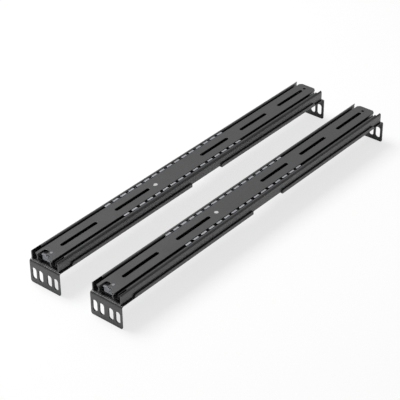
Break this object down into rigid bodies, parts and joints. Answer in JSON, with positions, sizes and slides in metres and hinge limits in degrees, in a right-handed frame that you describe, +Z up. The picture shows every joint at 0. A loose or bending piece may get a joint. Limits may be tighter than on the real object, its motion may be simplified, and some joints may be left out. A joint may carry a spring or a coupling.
{
  "type": "sliding server rail pair",
  "caption": "Pair of ball-bearing telescopic server rails with slotted rack flanges, a depth-adjustable rear bracket and a slotted inner member.",
  "frame": {"origin": "on the floor under the middle of the pair, the rails lying on their flanges' edges", "axes": "+Y along the rails from the front flanges to the rear ones, +X across from the left rail to the right, +Z up, out of the inner members' plates"},
  "size_m": [0.132, 0.472, 0.0416],
  "materials": {
    "black_powder_coat": "satin black powder coat",
    "zinc_plate": "bright zinc plate",
    "lever_steel": "dark zinc plate",
    "ball_steel": "polished bearing steel",
    "black_plastic": "matte"
  },
  "bodies": {
    "fixed_rails": {"left_front_bracket": "black_powder_coat", "left_front_studs": "zinc_plate", "left_front_nuts": "zinc_plate", "left_rear_studs": "zinc_plate", "left_rear_nuts": "zinc_plate", "left_outer_member": "black_powder_coat", "left_rear_bumper": "black_plastic", "right_front_bracket": "black_powder_coat", "right_front_studs": "zinc_plate", "right_front_nuts": "zinc_plate", "right_rear_studs": "zinc_plate", "right_rear_nuts": "zinc_plate", "right_outer_member": "black_powder_coat", "right_rear_bumper": "black_plastic"},
    "left_rear_bracket_slider": {"left_rear_bracket": "black_powder_coat"},
    "left_outer_cage": {"left_outer_ball_cage": "zinc_plate", "left_outer_balls": "ball_steel"},
    "left_intermediate": {"left_intermediate_member": "black_powder_coat"},
    "left_inner_cage": {"left_inner_ball_cage": "zinc_plate", "left_inner_balls": "ball_steel"},
    "left_inner": {"left_inner_member": "black_powder_coat", "left_lever_rivet": "zinc_plate", "left_guide_block": "black_plastic", "left_guide_rivet": "zinc_plate"},
    "left_lever": {"left_release_lever": "lever_steel"},
    "right_rear_bracket_slider": {"right_rear_bracket": "black_powder_coat"},
    "right_outer_cage": {"right_outer_ball_cage": "zinc_plate", "right_outer_balls": "ball_steel"},
    "right_intermediate": {"right_intermediate_member": "black_powder_coat"},
    "right_inner_cage": {"right_inner_ball_cage": "zinc_plate", "right_inner_balls": "ball_steel"},
    "right_inner": {"right_inner_member": "black_powder_coat", "right_lever_rivet": "zinc_plate", "right_guide_block": "black_plastic", "right_guide_rivet": "zinc_plate"},
    "right_lever": {"right_release_lever": "lever_steel"}
  },
  "joints": [
    {"name": "left_rear_bracket_depth", "type": "slide", "parent": "fixed_rails", "child": "left_rear_bracket_slider", "axis": [0, 1, 0], "range_m": [0, 0.07]},
    {"name": "left_intermediate_slide", "type": "slide", "parent": "fixed_rails", "child": "left_intermediate", "axis": [0, -1, 0], "range_m": [0, 0.19]},
    {"name": "left_outer_cage_roll", "type": "slide", "parent": "fixed_rails", "child": "left_outer_cage", "axis": [0, -1, 0], "range_m": [0, 0.095]},
    {"name": "left_inner_slide", "type": "slide", "parent": "left_intermediate", "child": "left_inner", "axis": [0, -1, 0], "range_m": [0, 0.228]},
    {"name": "left_inner_cage_roll", "type": "slide", "parent": "left_intermediate", "child": "left_inner_cage", "axis": [0, -1, 0], "range_m": [0, 0.114]},
    {"name": "left_lever_turn", "type": "hinge", "parent": "left_inner", "child": "left_lever", "pos_m": [-0.0428, -0.2253, 0.0394], "axis": [0, 0, 1], "range_deg": [-6, 6], "stiffness_Nm_per_rad": 0.2},
    {"name": "right_rear_bracket_depth", "type": "slide", "parent": "fixed_rails", "child": "right_rear_bracket_slider", "axis": [0, 1, 0], "range_m": [0, 0.07]},
    {"name": "right_intermediate_slide", "type": "slide", "parent": "fixed_rails", "child": "right_intermediate", "axis": [0, -1, 0], "range_m": [0, 0.19]},
    {"name": "right_outer_cage_roll", "type": "slide", "parent": "fixed_rails", "child": "right_outer_cage", "axis": [0, -1, 0], "range_m": [0, 0.095]},
    {"name": "right_inner_slide", "type": "slide", "parent": "right_intermediate", "child": "right_inner", "axis": [0, -1, 0], "range_m": [0, 0.228]},
    {"name": "right_inner_cage_roll", "type": "slide", "parent": "right_intermediate", "child": "right_inner_cage", "axis": [0, -1, 0], "range_m": [0, 0.114]},
    {"name": "right_lever_turn", "type": "hinge", "parent": "right_inner", "child": "right_lever", "pos_m": [0.0452, -0.2253, 0.0394], "axis": [0, 0, 1], "range_deg": [-6, 6], "stiffness_Nm_per_rad": 0.2}
  ],
  "couplings": [
    {"joint": "left_outer_cage_roll", "follows": "left_intermediate_slide", "ratio": 0.5},
    {"joint": "left_inner_cage_roll", "follows": "left_inner_slide", "ratio": 0.5},
    {"joint": "right_outer_cage_roll", "follows": "right_intermediate_slide", "ratio": 0.5},
    {"joint": "right_inner_cage_roll", "follows": "right_inner_slide", "ratio": 0.5}
  ]
}
